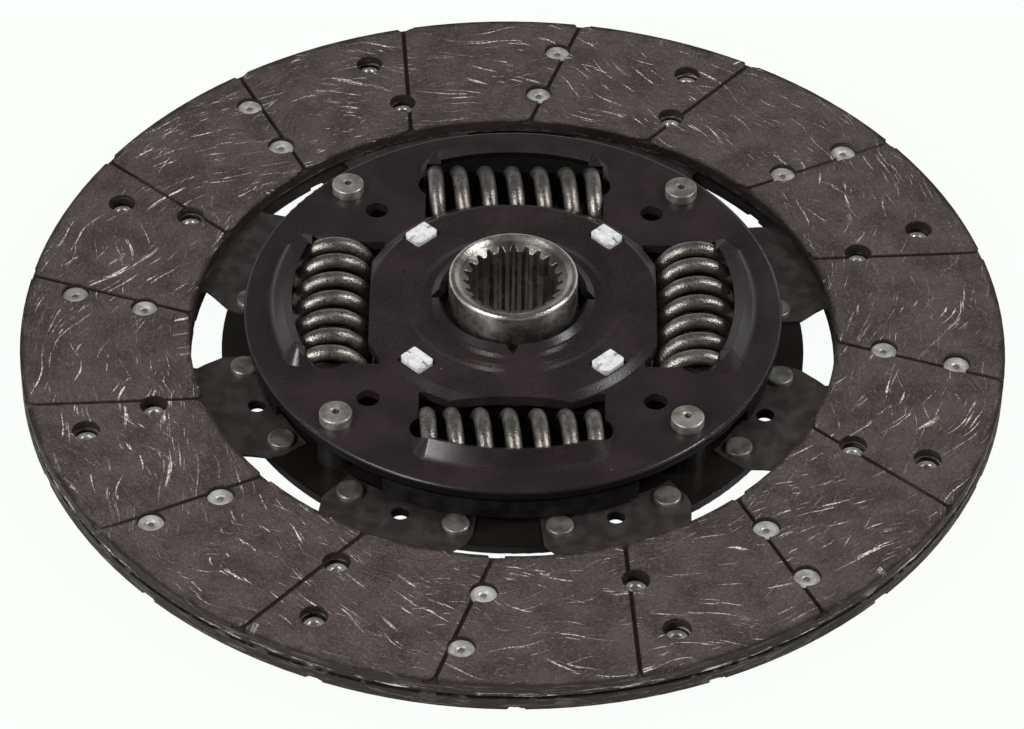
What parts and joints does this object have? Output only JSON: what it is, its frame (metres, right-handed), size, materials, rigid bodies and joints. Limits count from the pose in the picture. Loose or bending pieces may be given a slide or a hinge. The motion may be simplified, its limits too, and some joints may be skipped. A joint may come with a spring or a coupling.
{
  "type": "clutch disc",
  "caption": "Dry friction clutch disc with two grooved facings, a sprung damper between two black plates, and a splined hub.",
  "frame": {"origin": "on the hub's axis, in the plane that the disc lies on when its long nose points up", "axes": "+Z runs along the axis toward the hub's long nose; X and Y pass through the spring windows"},
  "size_m": [0.24, 0.24, 0.0288],
  "materials": {
    "friction_lining": "pressed and ground friction lining with pale fibres",
    "black_plate": "black satin phosphate coat",
    "segment_steel": "dark blued spring steel sheet",
    "spring_steel": "dark satin oiled spring wire",
    "hub_steel": "machined steel",
    "flange_steel": "dark hardened steel",
    "rivet_silver": "light zinc plated",
    "pin_steel": "mid-grey satin steel",
    "washer_steel": "plain spring steel sheet",
    "white_plastic": "moulded, satin",
    "bush_plastic": "moulded, satin"
  },
  "bodies": {
    "disc": {"front_facing": "friction_lining", "rear_facing": "friction_lining", "cushion_segment_1": "segment_steel", "cushion_segment_2": "segment_steel", "cushion_segment_3": "segment_steel", "cushion_segment_4": "segment_steel", "cushion_segment_5": "segment_steel", "cushion_segment_6": "segment_steel", "cushion_segment_7": "segment_steel", "cushion_segment_8": "segment_steel", "drive_plate": "black_plate", "cover_plate": "black_plate", "stop_pin_1": "pin_steel", "stop_pin_2": "pin_steel", "stop_pin_3": "pin_steel", "stop_pin_4": "pin_steel", "friction_ring": "white_plastic", "support_washer": "washer_steel", "diaphragm_spring": "washer_steel", "rear_friction_bush": "bush_plastic", "segment_rivets": "pin_steel", "front_facing_rivets": "rivet_silver", "rear_facing_rivets": "rivet_silver"},
    "hub": {"hub": "hub_steel", "hub_flange": "flange_steel"},
    "damper_springs": {"damper_spring_1": "spring_steel", "damper_spring_2": "spring_steel", "damper_spring_3": "spring_steel", "damper_spring_4": "spring_steel"}
  },
  "joints": [
    {"name": "hub_twist", "type": "hinge", "parent": "disc", "child": "hub", "pos_m": [0, 0, 0.0118], "axis": [0, 0, 1], "range_deg": [-12, 12], "stiffness_Nm_per_rad": 700},
    {"name": "spring_shift", "type": "hinge", "parent": "disc", "child": "damper_springs", "pos_m": [0, 0, 0.0118], "axis": [0, 0, 1], "range_deg": [-6, 6], "deforming": ["damper_spring_1", "damper_spring_2", "damper_spring_3", "damper_spring_4"]}
  ],
  "couplings": [
    {"joint": "spring_shift", "follows": "hub_twist", "ratio": 0.5}
  ]
}
